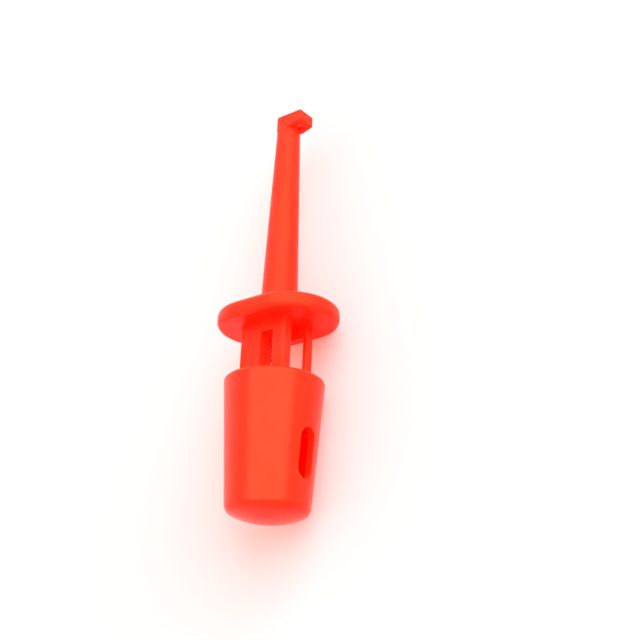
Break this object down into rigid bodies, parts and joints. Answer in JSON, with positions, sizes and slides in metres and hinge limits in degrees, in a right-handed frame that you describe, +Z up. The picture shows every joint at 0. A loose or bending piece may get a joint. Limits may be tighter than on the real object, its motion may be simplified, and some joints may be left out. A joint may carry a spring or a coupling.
{
  "type": "test hook clip",
  "caption": "Plunger test hook clip: tapered nose with a hooked tip, oval finger flange, slotted thumb cap on a spring, and a brass contact wire that comes out of the tip when the cap is pressed.",
  "frame": {"origin": "on the surface that the clip lies on, under the middle of its length", "axes": "+Y along the clip's axis towards the hook tip, +Z up; the hook points to +X, as the clip lies on the long side of its flange"},
  "size_m": [0.0168, 0.057, 0.0128],
  "materials": {
    "red_body_plastic": "moulded red ABS with a soft gloss",
    "red_cap_plastic": "moulded red ABS with a soft gloss",
    "contact_brass": "drawn brass wire",
    "collar_brass": "turned brass, slightly dulled",
    "spring_steel": "drawn spring wire with a warm tint"
  },
  "bodies": {
    "body": {"nose_body": "red_body_plastic", "return_spring": "spring_steel"},
    "plunger": {"thumb_cap": "red_cap_plastic", "hook_wire": "contact_brass", "spring_collar": "collar_brass"}
  },
  "joints": [
    {"name": "plunger_slide", "type": "slide", "parent": "body", "child": "plunger", "axis": [0, 1, 0], "range_m": [0, 0.0055], "stiffness_N_per_m": 250, "springref_m": -0.0002, "deforming": ["return_spring"]}
  ]
}
